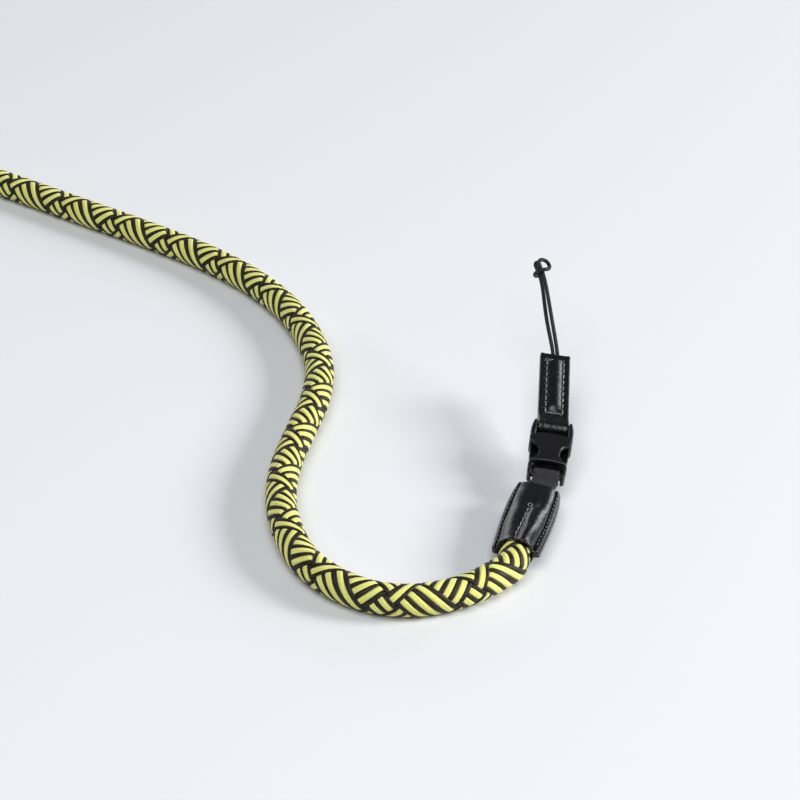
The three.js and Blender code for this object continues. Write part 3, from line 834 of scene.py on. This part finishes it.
def make_tab(prefix, end, node):
    pose = end.tab
    level = TAB.leather / 2 + FOLD_GAP
    eye = TAB.eye_radius + TAB.leather / 2

    def axis(d):
        local = np.stack([0 * d, TAB_EYE_Y + d, 0 * d], axis=1)
        flat = np.zeros_like(local)
        return pose.points(local), pose.directions(flat + [1, 0, 0]), pose.directions(flat + [0, 0, 1])

    def relief(x, d, top, along, outer):
        y = TAB_EYE_Y + d
        height = tab_relief_at(x, y) * np.where(top, 1.0, UNDERSIDE)
        if not outer:
            return np.maximum(height, 0) * 0.9
        wear = 0.05 * wrinkle(np.stack([x, y, top], axis=1), (0.35, 0.35, 9))
        crinkle = wrinkle(np.stack([x, y, np.ones_like(x)], axis=1), (1.9, 0.9, 4.0))
        return height + wear + 0.13 * bell(d / 2.4) * crinkle

    profile = fold_profile(-TAB_EYE_Y, eye, level, step=0.33, opening=5.6)
    sheet = TAB.width, TAB.leather
    strip = folded_strip(prefix + "tab_leather", axis, profile, sheet, relief, LEATHER, 61, 0.32)
    finished(strip, "leather", node)
    b = STITCH_BOX
    tubes = Tubes()
    count = round((b.top - b.bottom) / b.pitch)
    ys = np.linspace(b.top, b.bottom, count + 1)
    h = b.half
    loop = [(-h, y) for y in ys] + [(0, b.bottom)]
    loop += [(h, y) for y in ys[::-1]] + [(0, b.top), (-h, b.top)]
    for face in (1, -1):
        holes = pose.points([(x, y, face * (TAB.leather - 0.1)) for x, y in loop])
        stitch_tubes(tubes, holes, pose.directions((0, 0, face)))
    finished(tubes.piece(prefix + "tab_stitches", THREAD_PAINTED_GLINTS), "leather")


def make_web(prefix, end, node):
    bar = PLUG.bar_y
    straight, before = bar - WEB.fold_end, 6  # the route starts this far before the bar
    level = WEB.layer / 2 + FOLD_GAP
    turn = math.radians(end.twist)
    side_at_sleeve = end.sleeve.directions((math.cos(turn), 0, -math.sin(turn)))
    up_at_sleeve = end.sleeve.directions((math.sin(turn), 0, math.cos(turn)))
    keys = [
        end.buckle.points((0, bar + before, 0)),
        end.buckle.points((0, bar, 0)),
        end.buckle.points((0, bar - 0.6 * straight, 0)),
        end.sleeve.points((0, 0.4, 0)),
        end.sleeve.points((0, -WEB.in_sleeve, 0)),
    ]
    route = Route(centripetal(keys, 24))
    reach = route.length - before

    def axis(d):
        origin = route.points(np.clip(d + before, 0, route.length))
        free = max(reach - WEB.in_sleeve - 0.6 * straight, 0.1)
        share = smoothstep((d - 0.6 * straight) / free)[:, None]
        side = unit(end.buckle.directions((1, 0, 0)) * (1 - share) + side_at_sleeve * share)
        up = unit(end.buckle.directions((0, 0, 1)) * (1 - share) + up_at_sleeve * share)
        return origin, side, up

    def relief(x, d, top, along, outer):
        if not outer:
            return 0 * x
        yarn, pick = 0.5, 0.42
        column = np.floor(x / yarn + 0.5)
        ridge = np.sqrt(np.clip(1 - ((x / yarn - column) * 1.9) ** 2, 0, 1))
        wave = 0.5 + 0.5 * np.cos(TURN * (along / (2 * pick) + column * 0.5))
        return 0.18 * ridge * (0.2 + 0.8 * wave) - 0.08

    eye = WEB.eye_radius + WEB.layer / 2
    profile = fold_profile(reach, eye, level, step=0.14, opening=3.6)
    sheet = WEB.width - 0.3, WEB.layer  # 0.3 mm narrower than its solid
    strip = folded_strip(prefix + "web_band", axis, profile, sheet, relief, NYLON_PAINTED_SHEEN, 75, 0.4, 7)
    finished(strip, "webbing", node)


# ---- Leather sleeve ----
RAISED = Measures(wider=0.8, mouth=0.15, centre=-0.15)  # the raised middle, against the frame's plain solid
GROOVE = Measures(x=-0.4, lip=0.9, lip_mouth=1.8, first=13.4, last=32.0, pitch=2.75)
EDGE_PROFILE = [(-0.55, 1.1), (-0.2, 1.04), (-0.03, 0.85), (0.0, 0.5), (-0.02, 0.2), (-0.16, 0.05)]
# Half width, half height and depth of the rings inside the mouth and the webbing's slot.
SLEEVE_MOUTH = [(5.3, 5.05, 0.0), (5.1, 4.9, 0.2), (5.02, 4.85, 3.2)]
SLEEVE_SLOT = [(SLEEVE.slot_half, SLEEVE.slot_height / 2, 3.5), (4.85, 1.42, 0.25), (5.05, 1.6, 0.0)]


def sleeve_at(along):
    """The sleeve's measures, by name, at a distance from its upper end."""
    at = np.array([along])
    columns = enumerate(SLEEVE_COLUMNS)
    v = Measures(**{name: float(smooth_table(SLEEVE_SECTIONS, k, at)[0]) for k, name in columns})
    swell = smoothstep((along + 4) / 10) * (1 - smoothstep((along - 20) / 11))
    v.raised = v.raised + RAISED.mouth + RAISED.wider * swell
    v.down = v.down + 0.3 * smoothstep((along - 22) / 9)
    return v


def sleeve_face(x, along, v, top):
    """Height of the sleeve's upper or lower face over its sewn edge's level."""
    leather = SLEEVE.leather
    height = (v.up - v.edge) if top else (v.down + v.edge)
    off = np.abs(x - RAISED.centre)
    power = np.where(x > RAISED.centre, 2.8, 2.1) if top else 2.1
    arch = (height - leather) * np.clip(1 - (off / v.raised) ** power, 0, 1) ** 0.68
    sink = (0.1 + 0.6 * v.groove) if top else 0.25 * v.groove
    centre = GROOVE.x if top else 0.0
    dip = sink * np.exp(-((np.abs(x - centre - 0.5) / (0.42 * v.raised)) ** 2.6))
    z = leather + np.maximum(0, arch - dip)
    g = GROOVE
    seam = smoothstep((along - g.first + 1.2) / 1.5)
    if top:
        holes = np.abs(((along - g.first) / g.pitch) % 1.0 - 0.5) * 2
        row = bell((x - g.x) / 0.45) * seam
        z = z - row * (0.08 + 0.2 * holes**3)
        at = g.x + g.lip + (g.lip_mouth - g.lip) * smoothstep((along - 14) / 18)
        lip = smoothstep((x - at + 0.75) / 1.4) * (1 - smoothstep((x - at - 0.65) / 4.5))
        z = z + 0.6 * lip * seam
    valley = bell((off - v.raised - 0.05) / 0.28)
    welt = bell((off - v.raised - 0.5) / 0.32)
    return z - 0.42 * valley + 0.2 * welt


def make_sleeve(prefix, end, node):
    pose, length = end.sleeve, SLEEVE.length
    ends = np.array([0, 0.12, 0.35])
    stations = np.concatenate([ends, np.linspace(0.8, length - 0.8, 84), length - ends[::-1]])
    share = np.linspace(1, -1, 101)
    rings = []

    def placed(xz, along):
        turn = math.radians(end.twist * (1 - 2 * min(max(along, 0), length) / length))
        x, z, c, s = xz[:, 0], xz[:, 1], math.cos(turn), math.sin(turn)
        return pose.points(np.stack([x * c + z * s, np.full_like(x, -along), z * c - x * s], axis=1))

    def contour(along, shrink=0.0):
        v = sleeve_at(along)
        half = v.half
        x = share * (half - 0.55)
        crease = smoothstep(along / 4) * smoothstep((length - along) / 3)
        up = sleeve_face(x, along, v, True)
        down = sleeve_face(x, along, v, False)
        ripples = wrinkle([(a, along, 0) for a in x], (0.5, 2.3, 1), 3.0)
        right = smoothstep((x - 1.4) / 1.2) * smoothstep((v.raised - x) / 1.5)
        soft = wrinkle([(a, along, 0) for a in x], (0.16, 0.14, 1), 11.0)
        up = up + crease * (0.06 * right * ripples + 0.22 * soft * (np.abs(x) < v.raised))
        down = down + crease * 0.15 * soft
        top = np.stack([x, up], axis=1)
        bottom = np.stack([-x, -down[::-1]], axis=1)
        ledge = 0.45  # the lower leaf reaches further out on the right
        right_low = [(half + ledge + dx, -z) for dx, z in EDGE_PROFILE]
        right_up = [(half + dx, z) for dx, z in EDGE_PROFILE[::-1]]
        left_up = [(-half - dx, z) for dx, z in EDGE_PROFILE]
        left_low = [(-half - dx, -z) for dx, z in EDGE_PROFILE[::-1]]
        bottom[-1, 0] = half - 0.4
        xz = np.vstack([top[:-1], left_up, left_low, bottom[1:], right_low, right_up])
        xz = xz - shrink * unit(xz)
        xz[:, 1] += v.edge
        return xz

    for along in stations:
        near_end = min(along, length - along)
        shrink = 0.28 * (1 - min(1.0, near_end / 0.35)) ** 2
        rings.append(placed(contour(along, shrink), along))
    outer = contour(length)

    def oval(xz, a, b, power, middle):
        angle = np.arctan2((xz[:, 1] - middle) / b, xz[:, 0] / a)
        c, s = np.cos(angle), np.sin(angle)
        k = (np.abs(c) ** power + np.abs(s) ** power) ** (-1 / power)
        return np.stack([a * k * c, middle + b * k * s], axis=1)

    for a, b, depth in SLEEVE_MOUTH:
        rings.append(placed(oval(outer, a, b, 2.0, 0.1), length - depth))
    front = contour(0.0)
    slot = [placed(oval(front, a, b, 6.0, 0.0), depth) for a, b, depth in SLEEVE_SLOT]
    rings = np.array(slot + rings)[:, ::-1]
    tubes = Tubes()
    tubes.add(rings, np.arange(len(rings), dtype=float))
    obj = tubes.piece(prefix + "sleeve_leather", LEATHER, CUT_EDGE_PAINTED_REFLECTION)
    face, edge = len(share) - 1, len(EDGE_PROFILE)
    around = np.arange(rings.shape[1])[::-1]
    left = (around >= face + edge) & (around < face + 2 * edge - 2)
    right = (around >= 2 * (face + edge)) & (around < 2 * (face + edge) + edge)
    # The lower leaf's cut edges on both sides take the grey edge material, with its painted floor
    # reflection.
    cut_edge_and_reflection = np.tile(left | right, (len(rings) - 1, 1))
    cut_edge_and_reflection[1:3] = cut_edge_and_reflection[-3:] = False  # the rims of the slot and the mouth
    obj.data.polygons.foreach_set("material_index", [*map(int, cut_edge_and_reflection.ravel()), 0, 0])
    finished(obj, "leather", node)

    threads = Tubes()
    g = GROOVE
    at = np.arange(g.first, g.last, g.pitch)  # the middle row's holes

    def on_face(across, along, lift=0.0):
        """Points on the upper face. across is their x, or a function that finds it from the measures."""
        rows = []
        for a in along:
            v = sleeve_at(a)
            x = across(v) if callable(across) else across
            z = sleeve_face(np.array([x]), a, v, True)[0] + v.edge + lift
            rows.append(placed(np.array([[x, z]]), a)[0])
        return np.array(rows)

    holes = on_face(g.x, at, 0.2)
    normals = unit(on_face(g.x, at, 1.0) - on_face(g.x, at))
    stitch_tubes(threads, holes, normals, radius=0.26)
    ring_at = on_face(g.x + 0.15, [g.first - 1.2], 0.15)[0]
    turns = np.linspace(0, TURN, 17)[:, None]
    x_dir, y_dir = pose.directions((1, 0, 0)), pose.directions((0, -1, 0))
    loop = Route(ring_at + 0.62 * np.cos(turns) * x_dir + 0.8 * np.sin(turns) * y_dir, up=normals[0])
    threads.add(tube_rings(loop, loop.at, 0.2, 8), loop.at)
    for side in (-1, 1):
        at = np.arange(3.0, length - 2.5, 1.9)
        seam = on_face(lambda v: RAISED.centre + side * (v.raised + 0.35), at)
        stitch_tubes(threads, seam, pose.directions((0, 0, 1)), radius=0.16, gap=0.3, arch=0.12, sink=0.22)
    finished(threads.piece(prefix + "sleeve_stitches", THREAD_PAINTED_GLINTS), "leather")
    return obj


# ---- Buckle ----
def rounded_prism(outline, half_height, radius, steps=5):
    """A closed solid from an outline in plan, clockwise seen from above, whose upper and lower edges are
    rounded. radius is a length, or a function that gives one for each (x, y)."""
    p = np.array(outline, float)
    before, after = unit(p - np.roll(p, 1, axis=0)), unit(np.roll(p, -1, axis=0) - p)
    mitre = before + after
    inward = np.stack([mitre[:, 1], -mitre[:, 0]], axis=1)
    inward = inward / np.maximum((inward * inward).sum(1, keepdims=True) / 2, 0.7)
    r = np.array([radius(x, y) if callable(radius) else radius for x, y in p])[:, None]
    rings = []
    for side in (-1, 1):
        for a in np.linspace(0, math.pi / 2, steps)[::side]:
            flat = p + inward * r * (1 - math.cos(a))
            z = side * (half_height - r + r * math.sin(a))
            rings.append(np.hstack([flat, z]))
    n = len(p)
    faces = [q.tolist()[::-1] for q in grid_faces(len(rings), n)]
    faces += [list(range(n)), list(range((len(rings) - 1) * n, len(rings) * n))[::-1]]
    return np.vstack(rings), faces


def between(first, second):
    """A closed solid between two rings of points."""
    n = len(first)
    sides = [[i, (i + 1) % n, n + (i + 1) % n, n + i] for i in range(n)]
    return first + second, [list(range(n))[::-1], list(range(n, 2 * n)), *sides]


def prism(outline, low, high):
    """A closed solid between two heights from an outline in plan."""
    return between(*([(x, y, z) for x, y in outline] for z in (low, high)))


def rod(radius, length, y):
    """A round bar across the buckle."""
    ring = [(y + radius * math.cos(a), radius * math.sin(a)) for a in circle(28)]
    return between(*([(x, *point) for point in ring] for x in (-length / 2, length / 2)))


WINDOW = Measures(across=3.35, along=3.95, bevel=0.85)


def oval_post(x, y, oval, height, sides=44):
    """A cutter for a window: straight through, and widening in its bevel at the upper face."""
    face, bevel = SOCKET.thickness / 2, oval.bevel
    levels = [(0, -height / 2), (0, face - bevel)]  # how much wider, at which height
    levels += [(0.35 * bevel, face - 0.3 * bevel), (1.3 * bevel, face + 0.4 * bevel)]
    rings = []
    for grow, z in levels:
        a, b = oval.across + grow, oval.along + grow
        rings += [(x + a * math.cos(t), y + b * math.sin(t), z) for t in circle(sides)]
    faces = grid_faces(len(levels), sides).tolist()
    return rings, faces + [list(range(sides))[::-1], list(range(3 * sides, 4 * sides))]


def solid(points, faces):
    """A loose object of a closed solid, its faces turned outwards."""
    mesh = bpy.data.meshes.new("solid")
    mesh.from_pydata((np.asarray(points, float) * MM).tolist(), [], faces)
    b = bmesh.new()
    b.from_mesh(mesh)
    bmesh.ops.recalc_face_normals(b, faces=b.faces)
    b.to_mesh(mesh)
    b.free()
    return linked("solid", mesh)


def applied(obj):
    """Makes the object's modifiers permanent."""
    bpy.context.view_layer.update()
    made = bpy.data.meshes.new_from_object(obj.evaluated_get(bpy.context.evaluated_depsgraph_get()))
    obj.modifiers.clear()
    obj.data = made


def combined(obj, shape, operation="UNION"):
    """Joins a closed solid to the object, or takes it away."""
    other = solid(*shape)
    m = obj.modifiers.new("combine", "BOOLEAN")
    m.operation, m.object, m.solver = operation, other, "MANIFOLD"
    applied(obj)
    bpy.data.objects.remove(other)


def moulded(obj, name, pose, width):
    """Takes the sharpness off the solid's edges, as moulding does, and puts it in its place."""
    b = bmesh.new()
    b.from_mesh(obj.data)
    bmesh.ops.remove_doubles(b, verts=b.verts, dist=0.00001)
    bmesh.ops.dissolve_limit(b, angle_limit=math.radians(0.5), verts=b.verts, edges=b.edges)
    b.to_mesh(obj.data)
    b.free()
    m = obj.modifiers.new("round", "BEVEL")
    m.width, m.segments, m.use_clamp_overlap = width * MM, 2, True
    m.limit_method, m.angle_limit = "ANGLE", math.radians(40)
    applied(obj)
    turn = Matrix(pose.turn.tolist()).to_4x4()
    obj.data.transform(Matrix.Translation(Vector(pose.at) * MM) @ turn)
    obj.name = obj.data.name = name
    obj.data.polygons.foreach_set("use_smooth", [True] * len(obj.data.polygons))
    obj.modifiers.new("weigh", "WEIGHTED_NORMAL")
    obj.data.materials.clear()
    obj.data.materials.append(PLASTIC)
    return obj


def flipped(outline):
    """The same outline on the other side, still clockwise."""
    return [(-x, y) for x, y in reversed(outline)]


def mirrored(right):
    """An outline from its right half, top to bottom, closed by the same half on the left."""
    return list(right) + flipped(right)


def socket_outline():
    """The body's plate: its upper edge droops towards both ears and its mouth is a shallow arch."""
    s = SOCKET
    curve = [(6.88, -4.6, 0), *((half - 0.12, y, 0) for y, half in SOCKET_SIDE)]
    curve = centripetal(curve, 5)[:, :2].tolist()
    reach = 6.8
    xs = (0.9, 1.9, 2.9, 3.8, 4.6, 5.3, 5.9, 6.4, reach)
    top = [(x, s.top_edge + 0.15 - 1.7 * (x / reach) ** 2.8) for x in xs]
    corner = curve[-1][0] - 0.5
    xs = np.linspace(corner, 0, 9, endpoint=False)
    drop = s.mouth_corner - s.mouth_middle
    mouth = [(x, s.mouth_middle - 0.3 + 1.2 * drop * (x / corner) ** 2) for x in xs]
    return mirrored(top + curve + [(curve[-1][0] - 0.1, s.mouth_corner - 0.15)] + mouth)


def socket_rounding(x, y):
    """Full shoulders along the body's sides, slimmer along its upper edge and mouth."""
    upper = smoothstep((y + 5.4) / 2.0)
    mouth = smoothstep((-12.8 - y) / 1.4)
    return float(1.2 - 0.75 * upper - 0.8 * mouth)


# The right ear's outline, clockwise from its root inside.
EAR = [
    (5.06, -5.5), (5.06, 3.4), (5.12, 4.0), (5.34, 4.42), (5.68, 4.6), (6.02, 4.42),
    (6.28, 3.85), (6.58, 2.4), (6.8, 0.8), (6.9, -1.5), (6.84, -4.2), (6.74, -5.5),
]


def socket_body():
    s = SOCKET
    body = solid(*rounded_prism(socket_outline(), s.thickness / 2, socket_rounding))
    for outline in (EAR, flipped(EAR)):
        combined(body, rounded_prism(outline, s.thickness / 2 - 0.4, 0.55))
    between_ears = mirrored([(5.3, -1.5), (5.3, -6.0)])
    combined(body, prism(between_ears, -2.4, 1.3))
    c = CAVITY
    right = [(c.top_half - 1.5, c.end), (c.top_half, c.bend)]
    right.append((c.mouth_half, s.mouth_corner - 3))
    combined(body, prism(mirrored(right), -c.height / 2, c.height / 2 + 0.2), "DIFFERENCE")
    for side in (-1, 1):
        hole = oval_post(side * s.window_x, s.window_y, WINDOW, s.thickness + 2)
        combined(body, hole, "DIFFERENCE")
    combined(body, rod(s.bar_radius, 2 * s.ear_inside + 0.8, s.bar_y))
    return body


# Outer edge of the prong's wing, which closes the socket's side beside the window.
PRONG_WING = [(6.2, -6.3), (6.34, -8.0), (6.26, -10.0), (6.1, -12.0), (5.86, -14.5)]


def plug_body():
    p = PLUG
    top, end = p.shoulder_top, p.arm_end
    inside = p.arm_inside + 0.05
    arm = [
        (inside - 0.5, top), (p.arm_top_half - 0.3, top),
        (p.arm_top_half, top - 0.4), (p.arm_end_half + 0.16, end + 1.6),
        (p.arm_end_half + 0.08, end + 0.75), (p.arm_end_half - 0.12, end + 0.25),
        (p.arm_end_half - 0.45, end + 0.02), (inside + 0.2, end),
        (inside - 0.2, end + 0.25), (inside - 0.22, end + 0.7),
        (inside - 0.05, end + 1.2), (inside, p.shoulder_bottom - 0.3),
        (inside - 0.5, p.shoulder_bottom),
    ]
    half, thin = p.frame_thickness / 2, p.prong_thickness / 2
    wing = PRONG_WING + [(x - 0.5, y) for x, y in PRONG_WING[::-1]]
    rounding = 0.5
    body = solid(*rounded_prism(arm, half, rounding))
    combined(body, rounded_prism(flipped(arm), half, rounding))
    for outline in (wing, flipped(wing)):
        combined(body, rounded_prism(outline, 1.7, 0.2))
    bridge = mirrored([(inside - 0.1, top - 0.1), (inside - 0.1, p.shoulder_bottom)])
    root = mirrored([(p.root_half, p.root_top), (p.root_half, p.root_bottom)])
    guide = mirrored([(GUIDE.half, GUIDE.top), (GUIDE.half, p.root_bottom)])
    floor = [(p.root_half - 1.4, -14.9), (3.1, -7.7), (3.7, -6.5), (5.2, -6.6)]
    floor += [(6.2, -8.0), (6.1, -11.5), (5.75, -14.4)]
    for outline, low, high in (
        (bridge, -thin, -0.3),
        (root, -thin, -0.3),
        (guide, -thin, -0.1),
        (floor, -thin, -0.9),
        ([(-x, y) for x, y in floor], -thin, -0.9),
    ):
        combined(body, prism(outline, low, high))
    combined(body, rod(p.bar_radius, 2 * p.arm_inside + 0.4, p.bar_y))
    return body


def make_buckle(prefix, end, socket_node, plug_node):
    socket = moulded(socket_body(), prefix + "buckle_socket_shell", end.buckle, width=0.22)
    plug = moulded(plug_body(), prefix + "buckle_plug_frame", end.buckle, width=0.16)
    finished(socket, "buckle_plastic", socket_node)
    finished(plug, "buckle_plastic", plug_node)


make_tab("", NEAR, "leather_tab")
make_web("", NEAR, "web_link")
make_sleeve("", NEAR, "rope_sleeve")
make_buckle("", NEAR, "buckle_socket", "buckle_plug")
make_tab("far_", FAR, "far_leather_tab")
make_web("far_", FAR, "far_web_link")
far_sleeve = make_sleeve("far_", FAR, "far_rope_sleeve")
make_buckle("far_", FAR, "far_buckle", "far_buckle")


# ---- Points along the rope and the lug cords, computed and not kept ----
def path_of(route, step):
    s = np.append(np.arange(0, route.length, step), route.length)
    return (route.points(s) * MM).tolist()


ROPE_ENDS = [far_sleeve, "far_sleeve_stitches", "far_web_band", "far_buckle_socket_shell"]
ROPE_ENDS += ["far_buckle_plug_frame", "far_tab_leather", "far_tab_stitches"]
path_of(ROPE_PATH, 2.0)
for piece, skin, route, lay in (
    (near_cord, near_cord_skin, near_cord_route, "taut"),
    (far_cord, far_cord_skin, far_cord_route, "loose"),
):
    path_of(route, 0.5)


# ---- Floor and light ----
def make_stage():
    plain = Nodes("floor_plain").shaded(Base_Color=(0.76, 0.77, 0.8, 1), Roughness=0.85)
    half, level = 6000.0, TABLE_Z - 0.02
    corners = [(x * half, y * half, level) for x, y in ((-1, -1), (1, -1), (1, 1), (-1, 1))]
    mesh_piece("floor", corners, [[0, 1, 2, 3]], [plain], smooth=False)
    world = bpy.data.worlds.new("studio")
    world.use_nodes = True
    colour, strength = world.node_tree.nodes["Background"].inputs[:2]
    colour.default_value, strength.default_value = (0.92, 0.95, 1.0, 1), 0.12
    bpy.context.scene.world = world
    for name, place, size, power, colour in (
        ("key", (2000.0, -60.0, 930.0), (0.7, 0.7), 50.0, (1.0, 0.99, 0.975)),
        ("fill", (-250.0, -900.0, 1500.0), (1.4, 1.4), 23.0, (0.97, 0.985, 1.0)),
        ("back_right", (954.0, 954.0, 401.0), (0.35, 0.45), 3.6, (0.86, 0.92, 1.0)),
        ("back_left", (-607.0, 1295.0, 300.0), (1.1, 0.5), 3.6, (0.97, 0.98, 1.0)),
    ):
        data = bpy.data.lights.new(name, "AREA")
        data.shape, data.size, data.size_y = "RECTANGLE", *size
        data.energy, data.color = power, colour
        lamp = linked(name, data)
        lamp.location = Vector(place) * MM
        aim = Vector((-60.0, -60.0, TABLE_Z)) * MM - lamp.location
        lamp.rotation_euler = aim.to_track_quat("-Z", "Y").to_euler()


make_stage()
bpy.context.scene.view_settings.view_transform = "Standard"

bpy.context.view_layer.update()
